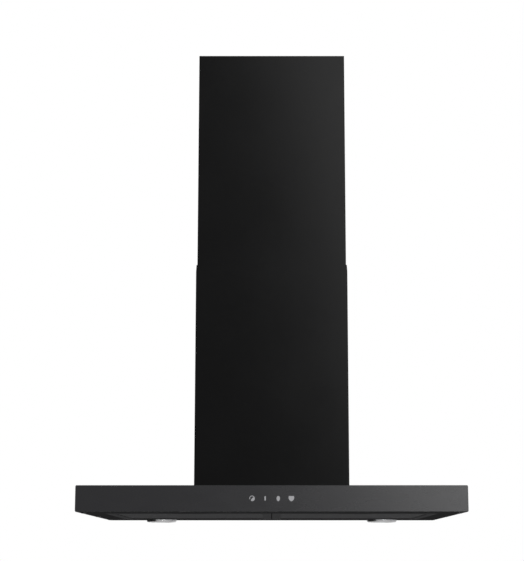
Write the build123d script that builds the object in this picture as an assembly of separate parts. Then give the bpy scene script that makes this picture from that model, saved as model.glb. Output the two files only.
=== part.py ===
from build123d import *
import math
import os

# A wall-mounted chimney range hood of the 60 cm class, in millimetres.
# X runs across the hood, -Y points out of the wall into the room, +Z is up.
# The origin is the middle of the wall-fixing holes, on the wall's surface (Y = 0).

# ---- Driving dimensions ----
canopy_width = 600.0
canopy_depth = 500.0
canopy_height = 40.0
fixing_above_canopy = 190.0      # from the canopy's underside up to the wall-fixing centre

cover_width = 262.0              # lower chimney cover, outside
cover_depth = 270.0              # lower chimney cover, from the wall to its front
cover_height = 390.0
cover_inset = 2.1                # upper cover lies this far inside the lower one
upper_height = 460.0
hood_height = 810.0              # canopy underside to the upper cover's top
cover_sheet = 1.0
canopy_sheet = 1.2

glass_thickness = 4.0
filter_zone_half = 265.0         # half width of the filter opening
filter_zone_front = 90.0         # front strip of the underside
filter_zone_back = 81.0          # rear strip, which carries the lamps
filter_height = 10.0
filter_wall = 1.0

lamp_x = 201.0
lamp_from_wall = 47.0
lamp_ring_radius = 27.0
lamp_ring_drop = 4.7

box_half = 118.0                 # blower box, half width
box_depth = 258.0
box_height = 300.0
fixing_spacing_x = 190.0
fixing_spacing_z = 140.0
fixing_hole_radius = 4.0

collar_radius = 74.5             # outside of the collar, for a 150 mm duct
collar_wall = 2.0
collar_height = 45.0
collar_y = -172.0

volute_half = 65.0
wheel_radius = 80.0
wheel_inner = 66.0
blade_count = 38
shaft_radius = 4.0

# ---- Levels and planes worked out from them ----
bottom = -fixing_above_canopy
top = bottom + canopy_height
strip_middle = (top + bottom) / 2
front = -canopy_depth
shell_front = front + glass_thickness
cover_half = cover_width / 2
upper_half = cover_half - cover_inset
cover_top = top + cover_height
hood_top = bottom + hood_height
upper_bottom = hood_top - upper_height
zone_front = front + filter_zone_front
zone_back = -filter_zone_back
pan_sheet = 1.0
pan_top = bottom + pan_sheet
ceiling = top - canopy_sheet     # underside of the canopy's top sheet
box_top = top + box_height
lamp_y = -lamp_from_wall
sides = {"left": -1, "right": 1}

seam = 0.1                       # hairline between neighbours that would touch
past = 1.0                       # cutting shapes run this far past the faces they cut

os.makedirs("parts", exist_ok=True)


# ---- Small building blocks ----
screw_head_ratio = 1.9           # a screw head's radius, in shank radii
screw_rim_ratio = 0.4
screw_recess_ratio = 2.0
screw_recess_width = 0.45


def block(corner, opposite):
    """A box between two opposite corners."""
    first = Vector(*corner)
    second = Vector(*opposite)
    size = second - first
    return Pos((first + second) / 2) * Box(abs(size.X), abs(size.Y), abs(size.Z))


def rod(start, end, radius):
    """A round bar from one point to another."""
    axis = Vector(*end) - Vector(*start)
    plane = Plane(origin=start, z_dir=axis.normalized())
    return extrude(plane * Circle(radius), axis.length)


def post(place, low, high, radius):
    """An upright round bar at a place in plan, from one height to another."""
    return rod((*place, low), (*place, high), radius)


def tube(start, end, outer, inner):
    """A round tube from one point to another."""
    return rod(start, end, outer) - rod(start, end, inner)


def screw(head, direction, length, radius=2.0):
    """A pan-head screw: head is the seat under the head, and the shank runs along direction."""
    seat = Vector(*head)
    way = Vector(*direction).normalized()
    crown = seat - way * radius
    shank = rod(seat, seat + way * length, radius)
    cap = rod(crown, seat, screw_head_ratio * radius)
    rim = cap.edges().sort_by(Axis(seat, way))[0]
    cap = fillet(rim, screw_rim_ratio * radius)
    size = screw_recess_ratio * radius
    width = screw_recess_width * radius
    cross = Rectangle(size, width) + Rectangle(width, size)
    recess = extrude(Plane(origin=crown, z_dir=way) * cross, radius / 2)
    return shank + cap - recess


def lead(points, radii, thickness):
    """A round cable along straight runs joined by tangent arcs."""
    path = FilletPolyline(*points, radius=radii)
    section = Plane(origin=path @ 0, z_dir=path % 0) * Circle(thickness / 2)
    return sweep(section, path=path)


def on_both_sides(x, ys):
    """Places in plan at one X on the left and on the right, for every Y."""
    return [(side * x, y) for side in sides.values() for y in ys]


def save(name, *solids):
    """Write one sub-part, of one solid or of a group of separate solids."""
    shape = solids[0] if len(solids) == 1 else Compound(children=list(solids))
    export_step(shape, f"parts/{name}.step")


# ---- Canopy: a pressed steel tray with its open side down ----
corner = 2.0
screw_hole = 2.1
box_lip = 10.0                   # the blower box's inward foot flange
intake_margin = 2.0              # the air opening lies this far inside the box's lip
tab_reach = 15.0                 # the tabs that the bottom pan is screwed to
tab_half = 8.0
tab_sheet = 1.2
tab_ys = (-470.0, -280.0, -90.0)
pan_screw_inset = 9.0
touch_half = 50.0
touch_height = 20.0
touch_margin = 2.0               # clearance round the touch board's opening
pan_screws = on_both_sides(canopy_width / 2 - canopy_sheet - pan_screw_inset, tab_ys)
foot_screws = on_both_sides(cover_half - 5.5, (-220.0, -40.0))
box_screws = on_both_sides(box_half - box_lip / 2, (-225.0, -130.0, -35.0))


def canopy_shell():
    half = canopy_width / 2
    inside = half - canopy_sheet
    inner_front = shell_front + canopy_sheet
    body = block((-half, shell_front, bottom), (half, 0, top))
    body = fillet(body.edges().filter_by(Axis.Z), corner)
    shell = body - block((-inside, inner_front, bottom - past), (inside, -canopy_sheet, ceiling))
    intake_half = box_half - box_lip - intake_margin
    shell -= block((-intake_half, box_lip - box_depth, ceiling - past), (intake_half, -box_lip, top + past))
    opening_half = touch_half + touch_margin
    opening_rise = touch_height / 2 + touch_margin
    shell -= block((-opening_half, shell_front - past, strip_middle - opening_rise),
                   (opening_half, inner_front + past, strip_middle + opening_rise))
    tab_low = pan_top + seam
    for side in sides.values():
        for y in tab_ys:
            shell += block((side * inside, y - tab_half, tab_low),
                           (side * (inside - tab_reach), y + tab_half, tab_low + tab_sheet))
    for place in pan_screws:
        shell -= post(place, bottom, tab_low + tab_sheet + past, screw_hole)
    for place in foot_screws + box_screws:
        shell -= post(place, ceiling - past, top + past, screw_hole)
    return shell


save("canopy_shell", canopy_shell())


# ---- Front strip: dark tempered glass with four printed touch marks ----
glass_bevel = 0.5
mark_pitch = 20.0
mark_print = 0.2                 # thickness of the printed marks
mark_stroke = 1.1
mark_top = 3.6                   # the marks' upper edge, above the strip's middle
mark_tip = -4.5                  # the lower tip of the pointed marks
ring_radius = 4.2
leaf_offset = 1.1
leaf_length = 7.2
leaf_width = 3.2
bar_width = 2.2
bar_length = 6.6
drop_half = 1.0                  # the drop's flat top, half width
drop_belly = (2.6, -0.7)
shield_half = 3.9
shield_belly = (3.1, -2.3)
board_sheet = 1.6
ribbon_x = 31.0                  # the ribbon cable plugs in here
ribbon_socket = (10.0, 3.0, 12.0)
touch_chip_x = -9.0
touch_chip = (10.0, 1.2, 8.0)


def front_panel():
    half = canopy_width / 2
    glass = block((-half, front, bottom), (half, shell_front, top))
    glass = fillet(glass.edges().filter_by(Axis.Y), corner)
    return chamfer(glass.faces().sort_by(Axis.Y)[0].edges(), glass_bevel)


def ring_mark():
    """A ring that is open at its lower left, with a leaf across its lower right."""
    ring = Circle(ring_radius) - Circle(ring_radius - mark_stroke)
    gap = Pos(-ring_radius, -ring_radius) * Rectangle(2 * ring_radius, 1.4 * ring_radius)
    leaf = Pos(leaf_offset, -leaf_offset) * Rot(0, 0, 45) * Ellipse(leaf_length / 2, leaf_width / 2)
    return ring - gap + leaf


def pointed_mark(half, belly):
    """A flat-topped mark whose sides bow out through the belly and meet in a tip below."""
    left = (-half, mark_top)
    right = (half, mark_top)
    tip = (0, mark_tip)
    outline = Line(left, right)
    outline += ThreePointArc(right, belly, tip)
    outline += ThreePointArc(tip, (-belly[0], belly[1]), left)
    return make_face(outline)


def touch_key_marks():
    """From left to right: an open ring, an upright bar, a drop and a shield."""
    bar = RectangleRounded(bar_width, bar_length, bar_width / 2 - seam)
    drop = pointed_mark(drop_half, drop_belly)
    shield = pointed_mark(shield_half, shield_belly)
    drawings = (ring_mark(), bar, drop, shield)
    marks = []
    for index, drawing in enumerate(drawings):
        x = (index - (len(drawings) - 1) / 2) * mark_pitch
        face_plane = Plane(origin=(x, front, strip_middle), x_dir=(1, 0, 0), z_dir=(0, -1, 0))
        marks.append(extrude(face_plane * drawing, mark_print, dir=(0, -1, 0)))
    return marks


def touch_board():
    """The sensor board behind the glass, with its chip and the ribbon cable's socket."""
    rear = shell_front + board_sheet
    board = block((-touch_half, shell_front, strip_middle - touch_height / 2),
                  (touch_half, rear, strip_middle + touch_height / 2))
    for x, size in ((ribbon_x, ribbon_socket), (touch_chip_x, touch_chip)):
        board += Pos(x, rear + size[1] / 2, strip_middle) * Box(*size)
    return board


save("front_panel", front_panel())
save("touch_key_marks", *touch_key_marks())
save("touch_board", touch_board())


# ---- Underframe: the bottom pan, with the filter opening and the lamp holes ----
pan_gap = 0.4
lip_height = 12.0
notch_half = 10.0                # notches that let the filters' tongues pass
notch_depth = 6.0
divider_offset = 16.0            # the wall in front of the filters, from their opening
divider_gap = 0.6                # between that wall and the canopy's ceiling
lamp_hole_radius = lamp_ring_radius - 2.4
lead_x = 98.0                    # the control lead runs straight back at this X
lead_slot_half = 6.0
lead_slot_height = 16.0
pan_screw_length = 6.0
keeper_half = 9.0
keeper_sheet = 0.5
keeper_foot = 9.0                # riveted part of a keeper strip, beyond the notch
keeper_rivet_x = 5.0
keeper_rivet_radius = 1.8
keeper_rivet_height = 1.0
filter_gap = 0.6                 # at each side of a filter
filter_width = filter_zone_half - 2 * filter_gap
filter_centre = filter_gap + filter_width / 2
divider_y = zone_front - divider_offset


def underframe():
    half = canopy_width / 2 - canopy_sheet - pan_gap
    pan_front = shell_front + canopy_sheet + pan_gap
    below = bottom - past
    above = pan_top + past
    pan = block((-half, pan_front, bottom), (half, -canopy_sheet - pan_gap, pan_top))
    pan -= block((-filter_zone_half, zone_front, below), (filter_zone_half, zone_back, above))
    for side in sides.values():
        pan += block((side * filter_zone_half, zone_front, bottom),
                     (side * (filter_zone_half + pan_sheet), zone_back, bottom + lip_height))
        centre = side * filter_centre
        pan -= block((centre - notch_half, zone_front - notch_depth, below),
                     (centre + notch_half, zone_front + past, above))
        pan -= post((side * lamp_x, lamp_y), below, above, lamp_hole_radius)
    for place in pan_screws:
        pan -= post(place, below, above, screw_hole)
    divider = block((-filter_zone_half, divider_y - pan_sheet, bottom),
                    (filter_zone_half, divider_y, ceiling - divider_gap))
    divider -= block((lead_x - lead_slot_half, divider_y - pan_sheet - past, ceiling - lead_slot_height),
                     (lead_x + lead_slot_half, divider_y + past, ceiling))
    return pan + divider


def filter_keepers():
    """Sprung strips on the pan: the latch tongues of the filters rest on their free ends."""
    foot = zone_front - notch_depth
    strip_top = pan_top + keeper_sheet
    strips = []
    for side in sides.values():
        centre = side * filter_centre
        strip = block((centre - keeper_half, foot - keeper_foot, pan_top),
                      (centre + keeper_half, zone_front - past, strip_top))
        for x in (centre - keeper_rivet_x, centre + keeper_rivet_x):
            strip += post((x, foot - keeper_foot / 2), strip_top, strip_top + keeper_rivet_height,
                          keeper_rivet_radius)
        strips.append(strip)
    return strips


save("underframe", underframe())
save("underframe_screws", *[screw((*place, bottom), (0, 0, 1), pan_screw_length) for place in pan_screws])
save("filter_keepers", *filter_keepers())


# ---- Grease filters: an aluminium channel frame round three layers of mesh ----
filter_front = zone_front + 1.0
filter_back = zone_back - 1.7
filter_top = bottom + filter_height
bar_side = 14.0
bar_front = 34.0                 # the front bar is wide enough for the latch
mesh_layers = (0.2, 3.7, 7.2)    # heights of the mesh layers inside the channel
mesh_sheet = 0.6
mesh_gap = 0.3
grip_half = 26.0
grip_front = filter_front + 9.0
grip_back = grip_front + 16.0
rear_tab_places = (-70.0, 50.0)  # tabs that rest on the pan's rear edge
rear_tab_half = 7.0
rear_tab_height = 1.0
rear_tab_reach = 6.0

tongue_half = 8.0
tongue_low = pan_top + 0.6       # just above the keeper strip
tongue_sheet = 1.5
tongue_tip = zone_front - 4.0
tongue_ramp = 1.0
tongue_slot_low = 0.4            # room for the tongue in the frame's front wall, below it
tongue_slot_high = 2.0
plate_low = bottom + 5.5
plate_high = plate_low + 2.0
plate_half = 32.0
plate_front = filter_front + 5.0
plate_back = plate_front + 18.0
tongue_root = 8.0                # the tongue runs this far in under the plate
riser_depth = 5.0
finger_half = 22.0
finger_front = grip_front + 4.0
finger_back = grip_front + 7.5
finger_low = bottom + 0.4
finger_edge = 0.8
finger_root_inset = 0.8
finger_root_depth = 1.5
boss_half = 4.0
boss_reach = 1.0
spring_start = plate_back + boss_reach + 0.2
spring_folds = 5
spring_swing = 3.2               # to each side of the spring's middle line
spring_strip = 0.4
spring_low = bottom + 3.2
spring_height = 4.0


def filter_frame(centre):
    left = centre - filter_width / 2
    right = centre + filter_width / 2
    low = bottom + filter_wall
    high = filter_top - filter_wall
    cross_back = filter_front + bar_front
    frame = block((left, filter_front, bottom), (right, filter_back, filter_top))
    frame -= block((left + filter_wall, cross_back, low),
                   (right - filter_wall, filter_back - filter_wall, high))
    frame -= block((left + filter_wall, filter_front + filter_wall, low),
                   (right - filter_wall, cross_back - filter_wall, high))
    window = block((left + bar_side, cross_back, bottom - past),
                   (right - bar_side, filter_back - bar_side, filter_top + past))
    grip = block((centre - grip_half, grip_front, bottom - past), (centre + grip_half, grip_back, low + past))
    slot_half = tongue_half + past
    slot = block((centre - slot_half, filter_front - past, tongue_low - tongue_slot_low),
                 (centre + slot_half, filter_front + filter_wall + past, tongue_low + tongue_slot_high))
    frame = frame - window - grip - slot
    tab_low = pan_top + seam
    for x in rear_tab_places:
        frame += block((centre + x - rear_tab_half, filter_back, tab_low),
                       (centre + x + rear_tab_half, zone_back + rear_tab_reach, tab_low + rear_tab_height))
    return frame


def filter_mesh(centre):
    gap = filter_wall + mesh_gap
    half = filter_width / 2 - gap
    mesh_front = filter_front + bar_front + mesh_gap
    sheets = []
    for height in mesh_layers:
        low = bottom + filter_wall + height
        sheets.append(block((centre - half, mesh_front, low),
                            (centre + half, filter_back - gap, low + mesh_sheet)))
    return sheets


def filter_latch(centre):
    """A sliding plate with a tongue in front, a finger bar below and a boss for its spring."""
    plate = block((centre - plate_half, plate_front, plate_low),
                  (centre + plate_half, plate_back, plate_high))
    tongue = block((centre - tongue_half, tongue_tip, tongue_low),
                   (centre + tongue_half, plate_front + tongue_root, tongue_low + tongue_sheet))
    ramp = tongue.faces().sort_by(Axis.Y)[0].edges().sort_by(Axis.Z)[-1]
    tongue = chamfer(ramp, tongue_ramp)
    riser = block((centre - tongue_half, plate_front, tongue_low),
                  (centre + tongue_half, plate_front + riser_depth, plate_low))
    finger = block((centre - finger_half, finger_front, finger_low),
                   (centre + finger_half, finger_back, plate_low))
    finger = fillet(finger.edges().filter_by(Axis.X), finger_edge)
    root = block((centre - finger_half, finger_front + finger_root_inset, plate_low - finger_root_depth),
                 (centre + finger_half, finger_back - finger_root_inset, plate_high - finger_root_depth))
    boss = block((centre - boss_half, plate_back - past, plate_low),
                 (centre + boss_half, plate_back + boss_reach, plate_high))
    return plate + tongue + riser + finger + root + boss


def latch_spring(centre):
    """A zigzag strip of spring steel between the latch and the frame's cross wall."""
    spring_end = filter_front + bar_front - filter_wall - mesh_gap
    step = (spring_end - spring_start) / spring_folds
    points = []
    for index in range(spring_folds + 1):
        swing = spring_swing if index % 2 else -spring_swing
        points.append((centre + swing, spring_start + index * step))
    strip = trace(Polyline(*points), spring_strip)
    return extrude(Pos(0, 0, spring_low) * strip, spring_height)


for side_name, side in sides.items():
    centre = side * filter_centre
    save(f"filter_{side_name}_frame", filter_frame(centre))
    save(f"filter_{side_name}_mesh", *filter_mesh(centre))
    save(f"filter_{side_name}_latch", filter_latch(centre))
    save(f"filter_{side_name}_latch_spring", latch_spring(centre))


# ---- Lamps: a bright ring, a frosted lens, an LED board in a heat-sink can, two clips ----
neck_radius = 24.0
neck_height = 12.0
ring_edge = 2.6
ring_lip = 1.7                   # thickness of the lip that the lens rests on
ring_opening = 20.2
lens_radius = 22.4
lens_gap = 0.1
lens_thickness = 2.0
can_wall = 1.4
can_roof = 2.0
can_low = bottom - 0.6
can_top = bottom + 24.0
fin_pitch = 8.0
fin_half = 0.8
fin_height = 7.0
fins_each_side = 2
led_board_low = bottom + 5.0
led_board_sheet = 1.2
led_board_gap = 1.6              # between the board's edge and the can's outside
led_count = 6
led_circle = 12.0
led_half = 1.5
led_height = 0.8
clip_half = 4.0
clip_sheet = 0.6
clip_gap = 0.15
clip_reach = 10.0
clip_top = bottom + 11.0


def lamp_bezel(place):
    low = bottom - lamp_ring_drop
    ring_top = bottom + neck_height
    ring = post(place, low, bottom, lamp_ring_radius)
    ring = fillet(ring.edges().sort_by(Axis.Z)[0], ring_edge)
    ring += post(place, bottom, ring_top, neck_radius)
    ring -= post(place, low - past, ring_top + past, ring_opening)
    ring -= post(place, low + ring_lip, ring_top + past, lens_radius + 2 * lens_gap)
    return ring


def lamp_lens(place):
    low = bottom - lamp_ring_drop + ring_lip + lens_gap
    return post(place, low, low + lens_thickness, lens_radius)


def lamp_housing(place):
    x, y = place
    can = post(place, can_low, can_top, lens_radius)
    can -= post(place, can_low - past, can_top - can_roof, lens_radius - can_wall)
    for index in range(-fins_each_side, fins_each_side + 1):
        across = index * fin_pitch
        reach = math.sqrt((lens_radius - past) ** 2 - across ** 2)
        can += block((x + across - fin_half, y - reach, can_top),
                     (x + across + fin_half, y + reach, can_top + fin_height))
    return can


def lamp_led_board(place):
    x, y = place
    board = post(place, led_board_low, led_board_low + led_board_sheet, lens_radius - led_board_gap)
    for index in range(led_count):
        turn = 2 * math.pi * index / led_count
        chip_x = x + led_circle * math.cos(turn)
        chip_y = y + led_circle * math.sin(turn)
        board += block((chip_x - led_half, chip_y - led_half, led_board_low - led_height),
                       (chip_x + led_half, chip_y + led_half, led_board_low))
    return board


def lamp_clips():
    """Folded spring strips, each with a foot on the pan and an upright against the lamp's neck."""
    low = pan_top + seam
    clips = []
    for x in (-lamp_x, lamp_x):
        for way in (-1, 1):
            inner = x + way * (neck_radius + clip_gap)
            upright = block((inner, lamp_y - clip_half, low),
                            (inner + way * clip_sheet, lamp_y + clip_half, clip_top))
            foot = block((inner, lamp_y - clip_half, low),
                         (x + way * (neck_radius + clip_reach), lamp_y + clip_half, low + clip_sheet))
            clips.append(upright + foot)
    return clips


for side_name, side in sides.items():
    place = (side * lamp_x, lamp_y)
    save(f"lamp_{side_name}_bezel", lamp_bezel(place))
    save(f"lamp_{side_name}_lens", lamp_lens(place))
    save(f"lamp_{side_name}_housing", lamp_housing(place))
    save(f"lamp_{side_name}_led_board", lamp_led_board(place))
save("lamp_clips", *lamp_clips())


# ---- Electronics in the closed front compartment, and the leads between the housings ----
case_low = pan_top + 0.2
driver_half = 50.0
driver_front = -484.0
driver_back = -432.0
driver_top = bottom + 30.0
driver_corner = 4.0
driver_lug_near = 30.0
driver_lug_far = 42.0
driver_lug_height = 2.5
driver_lug_reach = 3.5
control_low = (70.0, -492.0, case_low)
control_high = (172.0, -448.0, bottom + 32.0)
control_lid = 6.0                # height of the control box's cover
case_wall = 1.8
control_level = case_low + 7.0   # underside of the control board
control_board_inset = 4.0
relay_size = (16.0, 14.0, 12.4)
relay_places = ((92.0, -479.0), (114.0, -479.0))
transformer_size = (24.0, 22.0, 13.4)
transformer_place = (144.0, -471.0)
choke_place = (94.0, -462.0)
choke_radius = 5.0
choke_height = 8.4
ribbon_sheet = 0.8
ribbon_height = 10.0
ribbon_bend = 3.5
ribbon_run = 4.5                 # the ribbon turns this far behind its socket
lamp_lead_z = bottom + 15.0
lamp_lead_thickness = 4.0
lamp_lead_y = -440.0
lamp_lead_bend = 24.0
channel_x = 282.0                # the lamp leads run back beside the filters here
control_lead_z = bottom + 28.0
control_lead_thickness = 6.0
control_lead_bend = 45.0
lead_gap = 0.2
terminal_low = (73.0, -104.0, 96.0)
terminal_high = (114.0, -34.0, 136.0)


def lamp_driver():
    case = block((-driver_half, driver_front, case_low), (driver_half, driver_back, driver_top))
    case = fillet(case.edges().filter_by(Axis.Z), driver_corner)
    for side in sides.values():
        case += block((side * driver_lug_near, driver_back - driver_lug_far + driver_lug_near, case_low),
                      (side * driver_lug_far, driver_back + driver_lug_reach, case_low + driver_lug_height))
    return case


def control_box_base():
    x, y, z = control_high
    case = block(control_low, (x, y, z - control_lid))
    hollow_low = tuple(value + case_wall for value in control_low)
    return case - block(hollow_low, (x - case_wall, y - case_wall, z))


def control_box_cover():
    x, y, z = control_high
    lid_low = (control_low[0], control_low[1], z - control_lid)
    lid = fillet(block(lid_low, control_high).edges().filter_by(Axis.Z), 1)
    return lid - block((lid_low[0] + case_wall, lid_low[1] + case_wall, lid_low[2] - past),
                       (x - case_wall, y - case_wall, z - case_wall))


def control_board():
    """The board with two relays, a transformer and a choke standing on it."""
    inset = control_board_inset
    upper = control_level + board_sheet
    board = block((control_low[0] + inset, control_low[1] + inset, control_level),
                  (control_high[0] - inset, control_high[1] - inset, upper))
    for place in relay_places:
        board += Pos(*place, upper + relay_size[2] / 2) * Box(*relay_size)
    board += Pos(*transformer_place, upper + transformer_size[2] / 2) * Box(*transformer_size)
    return board + post(choke_place, upper, upper + choke_height, choke_radius)


def touch_lead():
    """A flat ribbon cable from the touch board's socket to the control box."""
    start_y = shell_front + board_sheet + ribbon_socket[1] + lead_gap
    run_y = start_y + ribbon_run
    end_x = control_low[0] - seam
    path = FilletPolyline((ribbon_x, start_y), (ribbon_x, run_y), (end_x, run_y), radius=ribbon_bend)
    return extrude(Pos(0, 0, strip_middle - ribbon_height / 2) * trace(path, ribbon_sheet), ribbon_height)


def lamp_leads():
    leads = []
    for side in sides.values():
        start = (side * (driver_half + lead_gap), lamp_lead_y, lamp_lead_z)
        front_corner = (side * channel_x, lamp_lead_y, lamp_lead_z)
        rear_corner = (side * channel_x, lamp_y, lamp_lead_z)
        end = (side * (lamp_x + lens_radius + 2 * lead_gap), lamp_y, lamp_lead_z)
        leads.append(lead([start, front_corner, rear_corner, end], lamp_lead_bend, lamp_lead_thickness))
    return leads


def control_lead():
    bend_y = (terminal_low[1] + terminal_high[1]) / 2
    start = (lead_x, control_high[1] + lead_gap, control_lead_z)
    turn = (lead_x, bend_y, control_lead_z)
    end = (lead_x, bend_y, terminal_low[2] - lead_gap)
    return lead([start, turn, end], control_lead_bend, control_lead_thickness)


save("lamp_driver", lamp_driver())
save("control_box_base", control_box_base())
save("control_box_cover", control_box_cover())
save("control_board", control_board())
save("touch_lead", touch_lead())
save("lamp_leads", *lamp_leads())
save("control_lead", control_lead())


# ---- Blower box: the sheet-metal box in the chimney that carries the hood on the wall ----
box_sheet = 1.2
box_corner = 1.5
box_screw_length = 7.0
gland_place = (92.0, -55.0)
gland_hole = 7.7
gland_bore = 4.2
gland_neck = 7.5
gland_neck_depth = 9.0
gland_hex = 10.0
gland_hex_height = 6.0
gland_dome = 9.0
gland_dome_height = 13.0
gland_dome_edge = 3.0
nut_height = 5.0
nut_top = box_top - 1.4
terminal_corner = 3.0
terminal_rim = 0.8
terminal_rim_drop = 9.0          # the lid's rim, below the terminal box's top
terminal_rim_height = 2.0
capacitor_x = -96.0
capacitor_z = 104.0
capacitor_radius = 15.0
capacitor_front = -72.0
capacitor_back = -12.0
capacitor_edge = 1.5
stud_radius = 4.0
collar_screw_radius = 82.0
collar_screw_angles = (45, 135, 225, 315)
collar_screws = []
for angle in collar_screw_angles:
    turn = math.radians(angle)
    collar_screws.append((collar_screw_radius * math.cos(turn),
                          collar_y + collar_screw_radius * math.sin(turn)))


def blower_box():
    floor_cut = top + box_sheet + past
    roof_cut = box_top - box_sheet - past
    inner_x = box_half - box_sheet
    lip_x = box_half - box_lip
    box = block((-box_half, -box_depth, top), (box_half, 0, box_top))
    box = fillet(box.edges().filter_by(Axis.Z), box_corner)
    box -= block((-inner_x, box_sheet - box_depth, top + box_sheet),
                 (inner_x, -box_sheet, box_top - box_sheet))
    box -= block((-lip_x, box_lip - box_depth, top - past), (lip_x, -box_lip, floor_cut))
    box -= post((0, collar_y), roof_cut, box_top + past, collar_radius - collar_wall)
    box -= post(gland_place, roof_cut, box_top + past, gland_hole)
    for x in (-fixing_spacing_x / 2, fixing_spacing_x / 2):
        for z in (-fixing_spacing_z / 2, fixing_spacing_z / 2):
            box -= rod((x, past, z), (x, -box_sheet - past, z), fixing_hole_radius)
    for place in box_screws:
        box -= post(place, top - past, floor_cut, screw_hole)
    for place in collar_screws:
        box -= post(place, roof_cut, box_top + past, screw_hole)
    return box


def cable_gland():
    """A hexagon with a domed cap above the box's roof, and a nut on its neck below."""
    hexagon = extrude(Pos(*gland_place, box_top) * RegularPolygon(gland_hex, 6), gland_hex_height)
    dome_low = box_top + gland_hex_height
    dome_high = dome_low + gland_dome_height
    neck_low = box_top - gland_neck_depth
    neck = post(gland_place, neck_low, box_top, gland_neck)
    dome = post(gland_place, dome_low, dome_high, gland_dome)
    dome = fillet(dome.edges().sort_by(Axis.Z)[-1], gland_dome_edge)
    nut = extrude(Pos(*gland_place, nut_top - nut_height) * RegularPolygon(gland_hex, 6), nut_height)
    return hexagon + neck + dome + nut - post(gland_place, neck_low - past, dome_high + past, gland_bore)


def terminal_box():
    case = fillet(block(terminal_low, terminal_high).edges().filter_by(Axis.Z), terminal_corner)
    rim_low = terminal_high[2] - terminal_rim_drop
    rim_high = rim_low + terminal_rim_height
    rim = block((terminal_low[0] - terminal_rim, terminal_low[1] - terminal_rim, rim_low),
                (terminal_high[0] + terminal_rim, terminal_high[1] + terminal_rim, rim_high))
    return case + rim


def capacitor():
    """A round can that stands out from the box's rear wall on a threaded stud."""
    rear = (capacitor_x, capacitor_back, capacitor_z)
    can = rod((capacitor_x, capacitor_front, capacitor_z), rear, capacitor_radius)
    can = fillet(can.edges().sort_by(Axis.Y)[0], capacitor_edge)
    return can + rod(rear, (capacitor_x, -box_sheet - seam, capacitor_z), stud_radius)


save("blower_box", blower_box())
save("canopy_top_screws", *[screw((*place, ceiling), (0, 0, 1), box_screw_length)
                            for place in box_screws + foot_screws])
save("cable_gland", cable_gland())
save("terminal_box", terminal_box())
save("capacitor", capacitor())


# ---- Blower housing: a scroll in two moulded halves, with its mouth up ----
scroll_y = -126.0
scroll_z = -20.0
scroll_start = 88.0              # scroll radius at the tongue
scroll_growth = 42.0             # added over a full turn
tongue_angle = 65.0              # measured from the front, up and over the top
scroll_wall = 2.5
scroll_steps = 12
mouth_z = 100.0
tongue_turn = 0.2                # keeps the inner outline's corner at the tongue square
inlet_radius = 68.0
inlet_rim = 4.0
inlet_lip = 2.0
lug_angles = (100, 170, 240, 300)
lug_radius = 5.5
lug_half = 6.0
lug_offset = 4.2                 # the lugs' centres lie this far outside the scroll
motor_screw_radius = 81.0
motor_screw_angles = (90, 210, 330)
adapter_corner = 6.0
adapter_wall = 2.0


def on_shaft(x):
    return (x, scroll_y, scroll_z)


def scroll_point(angle, inset=0.0):
    radius = scroll_start + scroll_growth * (angle - tongue_angle) / 360 - inset
    turn = math.radians(angle)
    return (scroll_y - radius * math.cos(turn), scroll_z + radius * math.sin(turn))


lug_places = [scroll_point(angle, -lug_offset) for angle in lug_angles]
motor_screw_places = []
for angle in motor_screw_angles:
    turn = math.radians(angle)
    motor_screw_places.append((scroll_y + motor_screw_radius * math.cos(turn),
                               scroll_z + motor_screw_radius * math.sin(turn)))
mouth_front = scroll_point(360)[0]
mouth_back = scroll_point(tongue_angle)[0]


def scroll_face(inset):
    """The scroll's outline in the YZ plane, drawn inward by the wall thickness where asked."""
    step = (360 - tongue_angle) / scroll_steps
    curve = [scroll_point(tongue_angle + step * index, inset) for index in range(scroll_steps + 1)]
    start = curve[0]
    end = curve[-1]
    back = mouth_back - inset
    corners = [end, (end[0], mouth_z), (back, mouth_z)]
    if inset:
        corners.append((back, scroll_point(tongue_angle)[1] + tongue_turn))
    outline = Spline(*curve)
    outline += Polyline(*corners, start)
    return Plane.YZ * make_face(outline)


def volute_half_shell(side):
    edge = side * volute_half
    inner_edge = side * (volute_half - scroll_wall)
    lip_end = side * (volute_half + inlet_lip)
    lug_end = side * lug_half
    outer = extrude(scroll_face(0.0), edge)
    inner = extrude(Pos(-side, 0, 0) * scroll_face(scroll_wall), inner_edge + side)
    inner += block((0, mouth_front + scroll_wall, mouth_z - scroll_wall),
                   (inner_edge, mouth_back - scroll_wall, mouth_z + past))
    shell = outer - inner
    shell += tube(on_shaft(edge), on_shaft(lip_end), inlet_radius + inlet_rim, inlet_radius)
    shell -= rod(on_shaft(inner_edge - side * scroll_wall), on_shaft(lip_end + side), inlet_radius)
    for y, z in lug_places:
        lug = rod((0, y, z), (lug_end, y, z), lug_radius)
        shell += lug - extrude(scroll_face(scroll_wall / 2), lug_end + side)
        shell -= rod((-side, y, z), (lug_end + side, y, z), screw_hole)
    if side < 0:
        for y, z in motor_screw_places:
            shell -= rod((edge - past, y, z), (inner_edge + past, y, z), screw_hole)
    return shell


def outlet_adapter():
    """A duct from the scroll's oblong mouth to the round collar."""
    middle = Pos(0, (mouth_front + mouth_back) / 2, mouth_z)
    depth = mouth_back - mouth_front
    solids = []
    for shrink in (0.0, adapter_wall):
        width = 2 * (volute_half - shrink)
        mouth = middle * RectangleRounded(width, depth - 2 * shrink, adapter_corner - shrink)
        outlet = Pos(0, collar_y, box_top - box_sheet) * Circle(collar_radius - shrink)
        solids.append(loft([mouth, outlet]))
    return solids[0] - solids[1]


save("volute_left", volute_half_shell(-1))
save("volute_right", volute_half_shell(1))
save("volute_screws", *[screw((lug_half, y, z), (-1, 0, 0), 2 * lug_half + 2) for y, z in lug_places])
save("outlet_adapter", outlet_adapter())


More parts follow.
